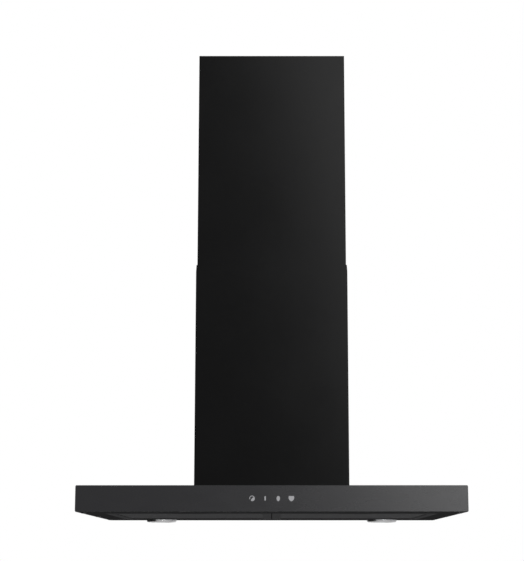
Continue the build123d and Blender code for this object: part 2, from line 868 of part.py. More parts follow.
# ---- Blower wheel and motor, on one shaft along X ----
wheel_half = 58.0
blade_sheet = 1.3
blade_sweep = 0.12               # radians from a blade's root to its tip
blade_bulge = -1.6
blade_bulge_share = 0.45
disc_half = 1.2
hub_radius = 10.0
hub_start = -14.0
hub_end = 16.0
wheel_ring_sheet = 2.0
wheel_ring_inner = wheel_inner + 6.0
shaft_end = 20.0
motor_radius = 44.0
motor_wall = 1.5
motor_rear = -98.0               # inside of the end cap
can_rear = -94.0                 # where the end cap meets the can
can_front = -26.0
seat_radius = 12.0
seat_depth = 8.0
cap_wall = 2.0
cap_edge = 2.0
bearing_outer = 9.0
bearing_length = 6.0
bearing_margin = 0.5
bearing_clearance = 0.02
press = 0.05                     # clearance that lets a round part sit in its seat
rotor_start = -84.0
rotor_end = -44.0
rotor_radius = 23.4
stator_overhang = 2.0            # the stator is this much longer than the rotor at each end
stator_bore = 24.0
clamp_back = -74.0
clamp_width = 8.0
clamp_wall = 2.8
clamp_gap = 0.2
arm_width = 10.0
arm_sheet = 4.0
arm_start = 46.0
arm_post_radius = 6.0
motor_screw_length = 13.5
motor_lead_offset = 36.0         # behind the shaft
motor_lead_gap = 8.0
motor_lead_z = 116.0
motor_lead_bends = [5.5, 40.0]
motor_lead_thickness = 5.0


def impeller():
    """A double-inlet wheel: a middle disc, curved blades on both sides, and two end rings."""
    chord = wheel_radius - wheel_inner
    blade_plane = Plane(origin=on_shaft(-wheel_half), x_dir=(0, 1, 0), z_dir=(1, 0, 0))
    inner_point = (wheel_inner, 0)
    outer_point = (wheel_radius * math.cos(blade_sweep), wheel_radius * math.sin(blade_sweep))
    bulge = (wheel_inner + blade_bulge_share * chord, blade_bulge)
    blade = trace(ThreePointArc(inner_point, bulge, outer_point), blade_sheet)
    blades = [Rot(0, 0, 360 * index / blade_count) * blade for index in range(blade_count)]
    cage = extrude(blade_plane * Sketch(children=blades), 2 * wheel_half)
    wheel = rod(on_shaft(-disc_half), on_shaft(disc_half), wheel_radius)
    wheel += rod(on_shaft(hub_start), on_shaft(hub_end), hub_radius)
    wheel -= rod(on_shaft(hub_start - past), on_shaft(hub_end + past), shaft_radius + press)
    for end in (-wheel_half, wheel_half - wheel_ring_sheet):
        wheel += tube(on_shaft(end), on_shaft(end + wheel_ring_sheet), wheel_radius + past, wheel_ring_inner)
    return wheel + cage


def motor_can():
    seat_bore = bearing_outer + press
    end = on_shaft(can_front)
    can = tube(on_shaft(can_rear), end, motor_radius, motor_radius - motor_wall)
    can += tube(on_shaft(can_front - cap_wall), end, motor_radius, seat_bore)
    return can + tube(on_shaft(can_front - seat_depth), end, seat_radius, seat_bore)


def motor_end_cap():
    cap = rod(on_shaft(motor_rear - cap_wall), on_shaft(can_rear), motor_radius)
    cap = fillet(cap.edges().sort_by(Axis.X)[0], cap_edge)
    cap -= rod(on_shaft(motor_rear), on_shaft(can_rear + past), motor_radius - cap_wall)
    seat_end = motor_rear + bearing_length + past
    return cap + tube(on_shaft(motor_rear), on_shaft(seat_end), seat_radius, bearing_outer + press)


def motor_bearings():
    bore = shaft_radius + bearing_clearance
    starts = (motor_rear + bearing_margin, can_front - bearing_length - bearing_margin)
    return [tube(on_shaft(x), on_shaft(x + bearing_length), bearing_outer, bore) for x in starts]


def motor_bracket():
    """A clamp ring round the motor with three arms, screwed to the scroll's left side."""
    bracket = tube(on_shaft(clamp_back), on_shaft(clamp_back + clamp_width),
                   motor_radius + clamp_gap + clamp_wall, motor_radius + clamp_gap)
    seat = -volute_half
    arm_length = motor_screw_radius + arm_post_radius - arm_start
    arm_plane = Plane(origin=on_shaft(clamp_back), x_dir=(0, 1, 0), z_dir=(1, 0, 0))
    for angle, (y, z) in zip(motor_screw_angles, motor_screw_places):
        bar = Rot(0, 0, angle) * (Pos(arm_start + arm_length / 2, 0) * Rectangle(arm_length, arm_width))
        bracket += extrude(arm_plane * bar, arm_sheet)
        bracket += rod((clamp_back, y, z), (seat, y, z), arm_post_radius)
        bracket -= rod((clamp_back - past, y, z), (seat + past, y, z), screw_hole)
    return bracket


def motor_lead():
    """From the motor's rear, up beside the scroll and over it to the terminal box."""
    y = scroll_y + motor_lead_offset
    x = motor_rear - motor_lead_gap
    start = (motor_rear - cap_wall - seam, y, scroll_z)
    end = (terminal_low[0] - lead_gap, y, motor_lead_z)
    return lead([start, (x, y, scroll_z), (x, y, motor_lead_z), end], motor_lead_bends, motor_lead_thickness)


save("impeller", impeller())
save("motor_shaft", rod(on_shaft(motor_rear + bearing_margin), on_shaft(shaft_end), shaft_radius))
save("motor_rotor", tube(on_shaft(rotor_start), on_shaft(rotor_end), rotor_radius, shaft_radius + press))
save("motor_stator", tube(on_shaft(rotor_start - stator_overhang), on_shaft(rotor_end + stator_overhang),
                          motor_radius - motor_wall - seam, stator_bore))
save("motor_can", motor_can())
save("motor_end_cap", motor_end_cap())
save("motor_bearings", *motor_bearings())
save("motor_bracket", motor_bracket())
save("motor_screws", *[screw((clamp_back, y, z), (1, 0, 0), motor_screw_length)
                       for y, z in motor_screw_places])
save("motor_lead", motor_lead())


# ---- Outlet collar with a pair of non-return flaps on one pin ----
flange_radius = 90.0
flange_height = 2.0
collar_foot_radius = collar_radius - 1.2
collar_screw_length = 7.0
pin_z = box_top + 16.0
pin_radius = 1.5
pin_reach = collar_radius - 0.2
ledge_height = 2.0
ledge_reach = 3.0
ledge_root = 0.5
flap_sheet = 1.2
flap_gap = 1.4                   # between a flap's rim and the collar
flap_split = 0.6                 # between a flap and the knuckles' round
knuckle_radius = 3.0
knuckle_gap = 0.6
knuckle_clearance = 0.08
knuckle_run = 60.0               # the knuckles fill this much of the pin, each side of the middle
knuckle_count = 6
collar_inner = collar_radius - collar_wall


def duct_collar():
    """A round collar with a ledge inside, which the closed flaps rest on."""
    axis = (0, collar_y)
    foot_top = box_top + flange_height
    collar = post(axis, foot_top, box_top + collar_height, collar_radius)
    collar += post(axis, box_top, foot_top, collar_foot_radius)
    collar -= post(axis, box_top - past, box_top + collar_height + past, collar_inner)
    ledge_top = pin_z - flap_sheet / 2 - seam
    collar += tube((*axis, ledge_top - ledge_height), (*axis, ledge_top),
                   collar_inner + ledge_root, collar_inner - ledge_reach)
    pin_end = collar_radius + past
    return collar - rod((0, collar_y - pin_end, pin_z), (0, collar_y + pin_end, pin_z), pin_radius + press)


def collar_flange():
    """The flat ring that holds the collar's foot on the blower box."""
    foot_top = box_top + flange_height
    ring = tube((0, collar_y, box_top), (0, collar_y, foot_top), flange_radius, collar_foot_radius + press)
    for place in collar_screws:
        ring -= post(place, box_top - past, foot_top + past, screw_hole)
    return ring


def damper(side):
    """A half-round flap whose knuckles alternate with the other flap's along the pin."""
    low = pin_z - flap_sheet / 2
    high = pin_z + flap_sheet / 2
    flap_radius = collar_inner - flap_gap
    inner_edge = knuckle_radius + flap_split
    disc = post((0, collar_y), low, high, flap_radius)
    flap = disc & block((inner_edge, collar_y - collar_radius, low),
                        (collar_radius, collar_y + collar_radius, high))
    pitch = 2 * knuckle_run / knuckle_count
    for index in range(knuckle_count):
        if index % 2 == (side > 0):
            continue
        start = collar_y - knuckle_run + index * pitch + knuckle_gap / 2
        end = start + pitch - knuckle_gap
        flap += rod((0, start, pin_z), (0, end, pin_z), knuckle_radius)
        flap += block((0, start, low), (inner_edge + past, end, high))
    flap -= rod((0, collar_y - collar_radius, pin_z), (0, collar_y + collar_radius, pin_z),
                pin_radius + knuckle_clearance)
    return flap if side > 0 else flap.mirror(Plane.YZ)


save("duct_collar", duct_collar())
save("collar_flange", collar_flange())
save("collar_screws", *[screw((*place, box_top + flange_height), (0, 0, -1), collar_screw_length)
                        for place in collar_screws])
save("damper_left", damper(-1))
save("damper_right", damper(1))
save("damper_pin", rod((0, collar_y - pin_reach, pin_z), (0, collar_y + pin_reach, pin_z), pin_radius))


# ---- Chimney covers: two folded sheets, open to the wall, the upper one telescoping ----
bend = 1.6
rear_flange = 12.0
upper_flange = 8.0
foot_flange = 9.0
hem_height = 12.0                # the lower cover's sides draw in over this height at its top
hem_draw = 0.9
hem_low = cover_top - hem_height
vent_count = 7
vent_pitch = 10.0
vent_height = 4.0
vent_length = 110.0
vent_top = hood_top - 40.0
bracket_height = 36.0
bracket_top = hood_top - 6.0
bracket_low = bracket_top - bracket_height
bracket_middle = bracket_top - bracket_height / 2
bracket_sheet = 1.6
bracket_gap = 0.3
bracket_hole_x = 80.0
bracket_hole_radius = 3.0
ear_reach = 30.0
upper_screw_y = -18.0
upper_screw_length = 8.0
ear_hole = rod((-cover_half, upper_screw_y, bracket_middle), (cover_half, upper_screw_y, bracket_middle),
               screw_hole)       # one cut through both sides of the cover and both ears


def cover_profile(half, depth):
    """The outside of a folded cover seen from above, against the wall plane at Y = 0."""
    outline = Pos(0, -depth / 2) * Rectangle(2 * half, depth)
    return fillet(outline.vertices().group_by(Axis.Y)[0], bend)


def drawn_in(half, low, face, rear):
    """A block from one Y to another whose sides draw in over the hem and on a little above it."""
    above = hem_height + past
    crown_half = half - hem_draw * above / hem_height
    outline = Polyline((-half, low), (half, low), (half, hem_low), (crown_half, hem_low + above),
                       (-crown_half, hem_low + above), (-half, hem_low), close=True)
    plane = Plane(origin=(0, face, 0), x_dir=(1, 0, 0), z_dir=(0, -1, 0))
    return extrude(plane * make_face(outline), rear - face, dir=(0, 1, 0))


def lower_chimney_cover():
    above = cover_top + past
    body = extrude(Pos(0, 0, top) * cover_profile(cover_half, cover_depth), cover_height)
    body &= drawn_in(cover_half, top - past, -cover_depth - past, past)
    inside_half = cover_half - cover_sheet
    inside_front = cover_sheet - cover_depth
    body -= drawn_in(inside_half, top + cover_sheet, inside_front, -cover_sheet)
    foot_half = inside_half - foot_flange
    foot_cut = top + cover_sheet + past
    body -= block((-foot_half, inside_front + foot_flange, top - past), (foot_half, past, foot_cut))
    rear_half = cover_half - rear_flange
    body -= block((-rear_half, -cover_sheet - past, top - past), (rear_half, past, above))
    for place in foot_screws:
        body -= post(place, top - past, foot_cut, screw_hole)
    return body


def upper_chimney_cover():
    rear = -cover_inset
    depth = cover_depth - cover_inset
    below = upper_bottom - past
    above = hood_top + past
    outer = upper_half + past
    body = extrude(Pos(0, 0, upper_bottom) * cover_profile(upper_half, depth), upper_height)
    body -= block((-outer, rear, below), (outer, past, above))
    inside_half = upper_half - cover_sheet
    body -= block((-inside_half, cover_sheet - depth, below), (inside_half, rear - cover_sheet, above))
    rear_half = upper_half - upper_flange
    body -= block((-rear_half, rear - cover_sheet - past, below), (rear_half, past, above))
    body -= block((-inside_half, rear - cover_sheet - past, bracket_low - 2 * past),
                  (inside_half, past, above))
    slot_plane = Plane(origin=(-outer, 0, 0), x_dir=(0, 1, 0), z_dir=(1, 0, 0))
    for index in range(vent_count):
        z = vent_top - index * vent_pitch
        slot = slot_plane * (Pos(-cover_depth / 2, z) * SlotOverall(vent_length, vent_height))
        body -= extrude(slot, 2 * outer)
    return body - ear_hole


def chimney_bracket():
    """The wall bracket near the ceiling, with an ear for each side of the upper cover."""
    ear_out = upper_half - cover_sheet - bracket_gap
    bracket = block((-ear_out, -bracket_sheet, bracket_low), (ear_out, 0, bracket_top))
    for side in sides.values():
        bracket += block((side * ear_out, -ear_reach, bracket_low),
                         (side * (ear_out - bracket_sheet), 0, bracket_top))
        x = side * bracket_hole_x
        bracket -= rod((x, -bracket_sheet - past, bracket_middle), (x, past, bracket_middle),
                       bracket_hole_radius)
    return bracket - ear_hole


save("lower_chimney_cover", lower_chimney_cover())
save("upper_chimney_cover", upper_chimney_cover())
save("chimney_bracket", chimney_bracket())
save("upper_cover_screws", *[screw((side * upper_half, upper_screw_y, bracket_middle), (-side, 0, 0),
                                   upper_screw_length) for side in sides.values()])
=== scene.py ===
import math

import bpy
from mathutils import Matrix, Quaternion, Vector


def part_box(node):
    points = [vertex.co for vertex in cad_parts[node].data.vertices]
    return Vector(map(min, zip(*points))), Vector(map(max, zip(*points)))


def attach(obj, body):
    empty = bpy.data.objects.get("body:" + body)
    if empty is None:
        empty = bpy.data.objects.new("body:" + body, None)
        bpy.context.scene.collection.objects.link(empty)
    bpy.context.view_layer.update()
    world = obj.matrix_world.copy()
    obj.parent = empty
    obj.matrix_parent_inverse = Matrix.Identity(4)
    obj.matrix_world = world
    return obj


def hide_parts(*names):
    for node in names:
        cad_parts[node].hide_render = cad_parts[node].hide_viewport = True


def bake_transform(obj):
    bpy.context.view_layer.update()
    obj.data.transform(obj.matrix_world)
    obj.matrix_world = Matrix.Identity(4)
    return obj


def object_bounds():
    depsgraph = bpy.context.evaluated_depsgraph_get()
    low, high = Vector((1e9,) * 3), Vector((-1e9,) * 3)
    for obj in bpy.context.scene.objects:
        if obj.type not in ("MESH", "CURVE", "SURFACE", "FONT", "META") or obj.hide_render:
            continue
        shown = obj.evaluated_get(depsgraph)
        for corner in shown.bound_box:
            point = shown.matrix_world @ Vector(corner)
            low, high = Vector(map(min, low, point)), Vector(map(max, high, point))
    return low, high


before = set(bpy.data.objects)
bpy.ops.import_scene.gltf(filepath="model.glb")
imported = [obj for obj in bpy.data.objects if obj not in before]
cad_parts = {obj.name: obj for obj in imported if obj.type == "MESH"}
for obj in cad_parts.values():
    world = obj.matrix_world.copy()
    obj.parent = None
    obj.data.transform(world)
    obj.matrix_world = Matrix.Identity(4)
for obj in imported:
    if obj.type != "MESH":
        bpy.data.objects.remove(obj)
cad_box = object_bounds()


# ---- Canopy ----
# A tray pressed from 1.2 mm steel, folded down at the sides and welded at the corners.
# It is powder coated black inside and out, in a fine satin that shows a faint orange peel.

class Term:
    """A socket of a node tree that can stand in a Python expression."""

    def __init__(self, graph, socket):
        self.graph = graph
        self.socket = socket

    def __add__(self, other):
        return self.graph.maths("ADD", self, other)

    def __radd__(self, other):
        return self.graph.maths("ADD", other, self)

    def __sub__(self, other):
        return self.graph.maths("SUBTRACT", self, other)

    def __rsub__(self, other):
        return self.graph.maths("SUBTRACT", other, self)

    def __mul__(self, other):
        return self.graph.maths("MULTIPLY", self, other)

    def __rmul__(self, other):
        return self.graph.maths("MULTIPLY", other, self)

    def __truediv__(self, other):
        return self.graph.maths("DIVIDE", self, other)

    def __pow__(self, other):
        return self.graph.maths("POWER", self, other)

    def __mod__(self, other):
        return self.graph.maths("FLOORED_MODULO", self, other)

    def __gt__(self, other):
        return self.graph.maths("GREATER_THAN", self, other)

    def __lt__(self, other):
        return self.graph.maths("LESS_THAN", self, other)

    def __abs__(self):
        return self.graph.maths("ABSOLUTE", self)


class Graph:
    """A node tree of either kind, built one node at a time."""

    def __init__(self, tree):
        self.tree = tree

    def node(self, kind, settings=None, sockets=None, output=0):
        """Adds a node with its settings, feeds its sockets and returns one of its outputs."""
        made = self.tree.nodes.new(kind)
        for label, value in (settings or {}).items():
            if label == "stops":
                self.set_stops(made.color_ramp, value)
            else:
                setattr(made, label, value)
        for label, value in (sockets or {}).items():
            self.feed(made.inputs[label], value)
        return Term(self, made.outputs[output])

    def maths(self, operation, *values):
        return self.node("ShaderNodeMath", {"operation": operation}, dict(enumerate(values)))

    def feed(self, target, value):
        """Links a term to a socket, or sets the socket to a plain value or colour."""
        if isinstance(value, Term):
            self.tree.links.new(value.socket, target)
        elif target.type == "RGBA" and len(value) == 3:
            target.default_value = (*value, 1.0)
        else:
            target.default_value = value

    def set_stops(self, ramp, stops):
        """Gives a ramp its grey stops, each a position and a level."""
        while len(ramp.elements) < len(stops):
            ramp.elements.new(1.0)
        for element, (position, level) in zip(ramp.elements, stops):
            element.position = position
            element.color = (level, level, level, 1.0)


class Finish(Graph):
    """A material: one Principled shader, its constants, and what varies over the surface."""

    def __init__(self, name, **constants):
        self.material = bpy.data.materials.new(name)
        self.material.use_nodes = True
        super().__init__(self.material.node_tree)
        self.shader = self.tree.nodes["Principled BSDF"]
        for label, value in constants.items():
            self.drive(label.replace("_", " "), value)

    def drive(self, label, value):
        self.feed(self.shader.inputs[label], value)

    def place(self):
        return self.node("ShaderNodeTexCoord", output="Object")

    def axes(self, place=None):
        split = self.node("ShaderNodeSeparateXYZ", {}, {0: place or self.place()})
        outputs = split.socket.node.outputs
        return [Term(self, outputs[index]) for index in range(3)]

    def stretched(self, factors):
        """Object coordinates scaled on each axis, for grain that runs one way."""
        return self.node("ShaderNodeMapping", {}, {"Vector": self.place(), "Scale": factors})

    def noise(self, scale, detail=2.0, place=None):
        """Soft noise from 0 to 1, with so many lumps to the metre."""
        sockets = {"Vector": place or self.place(), "Scale": scale, "Detail": detail}
        return self.node("ShaderNodeTexNoise", {}, sockets)

    def levels(self, value, *stops):
        """A value read off a ramp, whose stops are pairs of position and level."""
        return self.node("ShaderNodeValToRGB", {"stops": stops}, {0: value})

    def mix(self, factor, first, second):
        """The first colour at 0, the second at 1."""
        colours = {0: factor, 6: first, 7: second}
        return self.node("ShaderNodeMix", {"data_type": "RGBA"}, colours, 2)

    def relief(self, height, depth, strength=1.0):
        """Turns a height from 0 to 1 into a normal, for relief of this depth in metres."""
        sockets = {"Height": height, "Distance": depth, "Strength": strength}
        return self.node("ShaderNodeBump", {}, sockets)


def facing(finish, axis):
    """How far the surface faces along one axis of the object, from -1 to 1."""
    normal = finish.node("ShaderNodeNewGeometry", output="Normal")
    return finish.axes(normal)[axis]


def shaded(tone, factor):
    """The same colour, darker or lighter."""
    return tuple(factor * part for part in tone)


def black_paint(name, tone, sheen, matt, dusty=0.0):
    """Sprayed black: clouded tone, orange peel, uneven gloss, and dust on what faces up."""
    peel_depth = 0.00002
    dust_tone = (0.09, 0.087, 0.082)
    paint = Finish(name, Specular_IOR_Level=sheen)
    clouds = paint.noise(7.0, 4.0)
    peel = paint.noise(900.0, 1.0)
    grain = paint.noise(120.0, 3.0)
    colour = paint.mix(clouds, shaded(tone, 0.88), shaded(tone, 1.12))
    roughness = matt + 0.10 * (clouds - 0.5) + 0.05 * (grain - 0.5)
    if dusty:
        faces_up = facing(paint, 2) > 0.7
        settled = faces_up * paint.levels(grain, (0.35, 0.2), (0.75, 1.0)) * dusty
        colour = paint.mix(settled, colour, dust_tone)
        roughness = roughness + 0.2 * settled
    paint.drive("Base Color", colour)
    paint.drive("Roughness", roughness)
    paint.drive("Normal", paint.relief(peel, peel_depth, 0.35))
    return paint.material


def dress(material, *nodes):
    """Gives CAD nodes their finish."""
    for node in nodes:
        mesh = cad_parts[node].data
        mesh.materials.clear()
        mesh.materials.append(material)


canopy_tone = (0.0060, 0.0060, 0.0063)
canopy_paint = black_paint("canopy_black", canopy_tone, sheen=0.12, matt=0.42, dusty=0.12)
dress(canopy_paint, "canopy_shell")


# ---- Underframe ----
# The bottom pan is 1 mm steel with the filter opening and both lamp holes punched out.
# It has the canopy's powder coat, a little rougher, and is screwed up into the canopy's tabs.

pan_tone = (0.0240, 0.0240, 0.0248)
pan_paint = black_paint("underframe_black", pan_tone, sheen=0.0, matt=0.85)
dress(pan_paint, "underframe")


# ---- Front strip ----
# Four millimetres of tempered glass, back-painted in a dark grey and glued to the canopy.
# Four touch marks are printed on its face in pale grey ceramic ink.

def dark_glass():
    """Glass with wiped smears on its polished face, and matt where its edges are ground."""
    edge_tone = (0.0070, 0.0080, 0.0078)
    glass = Finish("front_strip_glass", Specular_IOR_Level=0.25)
    clouds = glass.noise(3.0, 2.0)
    smears = glass.noise(26.0, 5.0, glass.stretched((1.0, 1.0, 2.4)))
    ground = abs(facing(glass, 1)) < 0.9
    painted = glass.mix(clouds, (0.0040, 0.0040, 0.0052), (0.0056, 0.0054, 0.0066))
    glass.drive("Base Color", glass.mix(ground, painted, edge_tone))
    glass.drive("Roughness", 0.27 + 0.08 * (smears - 0.5) + 0.6 * ground)
    return glass.material


def printed_ink():
    """Pale grey ink with the fine speckle of a screen print."""
    ink = Finish("ceramic_ink")
    speckle = ink.noise(2600.0, 2.0)
    ink.drive("Base Color", ink.mix(speckle, (0.150, 0.150, 0.159), (0.218, 0.218, 0.227)))
    ink.drive("Roughness", 0.45 + 0.1 * (speckle - 0.5))
    return ink.material


dress(dark_glass(), "front_panel")
dress(printed_ink(), "touch_key_marks")


# ---- Circuit boards ----
# Glass-fibre boards under green lacquer, with copper tracks that show as lighter lines.
# Relays, sockets and chips are black mouldings; the lamps' chips are yellow phosphor.

def circuit_board(name, axis, level, rising, part_colour):
    """Lacquered board up to a level on one axis, and the colour of its components beyond it."""
    cells_per_metre = 190.0
    track_width = 0.09               # as a part of a cell
    track_depth = 0.00005
    board = Finish(name)
    along = board.axes()[axis]
    beyond = along > level if rising else along < level
    cells = board.node("ShaderNodeTexVoronoi",
                       {"feature": "DISTANCE_TO_EDGE", "distance": "MANHATTAN"},
                       {"Vector": board.place(), "Scale": cells_per_metre})
    tracks = cells < track_width
    lacquer = board.mix(tracks, (0.012, 0.075, 0.028), (0.030, 0.150, 0.055))
    mottle = board.noise(700.0, 2.0)
    board.drive("Base Color", board.mix(beyond, lacquer, part_colour))
    board.drive("Roughness", 0.30 + 0.18 * beyond + 0.06 * mottle)
    board.drive("Normal", board.relief(tracks * (1 - beyond), track_depth))
    return board.material


moulded_black = (0.018, 0.018, 0.019)
phosphor = (0.72, 0.55, 0.10)
board_sheet = 0.0016
led_board_sheet = 0.0012
touch_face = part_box("touch_board")[0].y + board_sheet
control_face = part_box("control_board")[0].z + board_sheet
led_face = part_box("lamp_left_led_board")[1].z - led_board_sheet
touch_lacquer = circuit_board("touch_board_lacquer", 1, touch_face, True, moulded_black)
control_lacquer = circuit_board("control_board_lacquer", 2, control_face, True, moulded_black)
led_lacquer = circuit_board("led_board_lacquer", 2, led_face, False, phosphor)
dress(touch_lacquer, "touch_board")
dress(control_lacquer, "control_board")
dress(led_lacquer, "lamp_left_led_board", "lamp_right_led_board")


# ---- Grease filter frames ----
# Channels of 1 mm aluminium, folded round the mesh, mitred at the corners and riveted there.
# They are anodised black, and the drawing of the strip leaves fine lines along each channel.

frame_low, frame_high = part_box("filter_right_frame")
rear_wall = 0.0013               # from the mesh's rear edge to the frame's rear face
frame_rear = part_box("filter_right_mesh")[1].y + rear_wall
frame_middle = (frame_low.x + frame_high.x) / 2
frame_half = (frame_high.x - frame_low.x) / 2
channel_side = 0.014             # widths of the channels; the rear one is as wide as the sides
channel_front = 0.034
seam_half = 0.00025


def mitred_channel():
    """Black anodised strip with a hairline seam across each corner of either filter."""
    seam_tone = (0.004, 0.004, 0.004)
    metal = Finish("anodised_black", Metallic=0.06, Specular_IOR_Level=0.0)
    lines = metal.noise(1.0, 3.0, metal.stretched((2200.0, 30.0, 2200.0)))
    clouds = metal.noise(14.0, 3.0)
    x, y = metal.axes()[:2]
    inward = frame_half - abs(abs(x) - frame_middle)
    from_front = y - frame_low.y
    from_rear = frame_rear - y
    front_diagonal = math.hypot(channel_side, channel_front)
    rear_diagonal = math.sqrt(2.0)
    off_front_seam = abs(from_front * channel_side - inward * channel_front) / front_diagonal
    off_rear_seam = abs(from_rear - inward) / rear_diagonal
    seam = (off_front_seam < seam_half) + (off_rear_seam < seam_half)
    seam = seam * (inward < channel_side)
    grain = 0.5 * lines + 0.5 * clouds
    drawn = metal.mix(grain, (0.041, 0.041, 0.043), (0.058, 0.058, 0.060))
    metal.drive("Base Color", metal.mix(seam, drawn, seam_tone))
    metal.drive("Roughness", 0.78 + 0.12 * (lines - 0.5) + 0.06 * (clouds - 0.5))
    metal.drive("Normal", metal.relief(0.5 * lines - seam, 0.00004, 0.5))
    return metal.material


dress(mitred_channel(), "filter_left_frame", "filter_right_frame")


# ---- Grease mesh ----
# Three sheets of expanded aluminium: slit, then pulled open into diamonds.
# The lowest is the finest, and the two above it are coarser, to catch the grease in steps.

class Form(Graph):
    """A geometry tree with named inputs, which ends in real faces with a material."""

    def __init__(self, name, **inputs):
        tree = bpy.data.node_groups.new(name, "GeometryNodeTree")
        super().__init__(tree)
        tree.interface.new_socket("Geometry", in_out="OUTPUT", socket_type="NodeSocketGeometry")
        tree.interface.new_socket("Geometry", in_out="INPUT", socket_type="NodeSocketGeometry")
        kinds = {float: "NodeSocketFloat", int: "NodeSocketInt", tuple: "NodeSocketVector"}
        self.identifiers = {}
        for label, value in inputs.items():
            kind = kinds[type(value)]
            socket = tree.interface.new_socket(label, in_out="INPUT", socket_type=kind)
            socket.default_value = value
            self.identifiers[label] = socket.identifier
        self.entry = tree.nodes.new("NodeGroupInput")
        self.exit = tree.nodes.new("NodeGroupOutput")

    def given(self, label):
        return Term(self, self.entry.outputs[label])

    def finish(self, geometry, material):
        """Turns instances into real faces and gives them their material."""
        real = self.node("GeometryNodeRealizeInstances", {}, {0: geometry})
        sockets = {"Geometry": real, "Material": material}
        dressed = self.node("GeometryNodeSetMaterial", {}, sockets)
        self.tree.links.new(dressed.socket, self.exit.inputs[0])

    def grow(self, name, points=((0.0, 0.0, 0.0),), **inputs):
        """Runs the tree on these points and returns the result as a plain mesh object."""
        seed = bpy.data.meshes.new(name)
        seed.from_pydata([tuple(point) for point in points], [], [])
        holder = bpy.data.objects.new(name, seed)
        bpy.context.collection.objects.link(holder)
        modifier = holder.modifiers.new("form", "NODES")
        modifier.node_group = self.tree
        for label, value in inputs.items():
            modifier[self.identifiers[label]] = value
        evaluated = holder.evaluated_get(bpy.context.evaluated_depsgraph_get())
        mesh = bpy.data.meshes.new_from_object(evaluated)
        holder.modifiers.clear()
        holder.data = mesh
        return holder


def expanded_metal(material):
    """Rows of zigzag strands, each second row half a cell over, so that they meet in diamonds."""
    form = Form("expanded_metal", Corner=(0.0, 0.0, 0.0), Cell_Length=0.006, Row_Pitch=0.002,
                Strand=0.0008, Sheet=0.0004, Steps=80, Rows=140)
    half_cell = form.given("Cell_Length") * 0.5
    pitch = form.given("Row_Pitch")
    sheet = form.given("Sheet")
    step = form.node("ShaderNodeCombineXYZ", {}, {0: half_cell})
    line = {"Count": form.given("Steps"), "Offset": step}
    strand = form.node("GeometryNodeMeshLine", {}, line)
    odd = form.node("GeometryNodeInputIndex") % 2.0
    swing = form.node("ShaderNodeCombineXYZ", {}, {1: (odd - 0.5) * pitch, 2: (odd - 0.5) * sheet})
    strand = form.node("GeometryNodeSetPosition", {}, {"Geometry": strand, "Offset": swing})
    strand = form.node("GeometryNodeMeshToCurve", {}, {"Mesh": strand})
    across = {"Width": sheet, "Height": form.given("Strand")}
    section = form.node("GeometryNodeCurvePrimitiveQuadrilateral", {}, across)
    swept = {"Curve": strand, "Profile Curve": section, "Fill Caps": True}
    strand = form.node("GeometryNodeCurveToMesh", {}, swept)
    next_row = form.node("ShaderNodeCombineXYZ", {}, {1: pitch})
    starts = {"Count": form.given("Rows"), "Start Location": form.given("Corner"),
              "Offset": next_row}
    rows = form.node("GeometryNodeMeshLine", {}, starts)
    odd_row = form.node("GeometryNodeInputIndex") % 2.0
    shift = form.node("ShaderNodeCombineXYZ", {}, {0: odd_row * half_cell})
    rows = form.node("GeometryNodeSetPosition", {}, {"Geometry": rows, "Offset": shift})
    net = form.node("GeometryNodeInstanceOnPoints", {}, {"Points": rows, "Instance": strand})
    form.finish(net, material)
    return form


def drawn_metal(name, tone, roughness, factors, metallic=0.85, sheen=0.5):
    """Drawn or brushed metal whose fine lines run along the axis with the smallest factor."""
    line_depth = 0.00002
    metal = Finish(name, Metallic=metallic, Specular_IOR_Level=sheen)
    lines = metal.noise(1.0, 3.0, metal.stretched(factors))
    clouds = metal.noise(14.0, 3.0)
    grain = 0.5 * lines + 0.5 * clouds
    metal.drive("Base Color", metal.mix(grain, shaded(tone, 0.80), shaded(tone, 1.18)))
    metal.drive("Roughness", roughness + 0.12 * (lines - 0.5) + 0.06 * (clouds - 0.5))
    metal.drive("Normal", metal.relief(lines, line_depth, 0.5))
    return metal.material


mesh_tone = (0.075, 0.075, 0.078)
mesh_metal = drawn_metal("expanded_aluminium", mesh_tone, 0.42, (60.0, 900.0, 60.0))
net_form = expanded_metal(mesh_metal)
net_layers = (
    # name, cell length, row pitch, strand
    ("fine", 0.0060, 0.0021, 0.0008),
    ("middle", 0.0090, 0.0032, 0.0010),
    ("upper", 0.0110, 0.0040, 0.0012),
)
net_margin = 0.003               # the sheets end inside the side and rear channels
half_sheet = 0.0003              # from a layer's middle to the face of the stack
for side in ("left", "right"):
    low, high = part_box(f"filter_{side}_mesh")
    rise = (high.z - low.z - 2 * half_sheet) / (len(net_layers) - 1)
    for layer, (fineness, cell, pitch, strand) in enumerate(net_layers):
        first_row = low.y + pitch / 2 + strand
        steps = int((high.x - low.x - 2 * net_margin) / (cell / 2)) - 1
        rows = int((high.y - net_margin - first_row) / pitch)
        corner = (low.x + net_margin, first_row, low.z + half_sheet + layer * rise)
        net = net_form.grow(f"grease_mesh_{side}_{fineness}", Corner=corner, Cell_Length=cell,
                            Row_Pitch=pitch, Strand=strand, Steps=steps, Rows=rows)
        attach(net, f"filter_{side}")
        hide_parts(f"filter_{side}_mesh")


# ---- Filter rivets ----
# Blind rivets of black-anodised aluminium, one on either side of the seam at each corner.
# Their low domes stand on the channel's lower face.

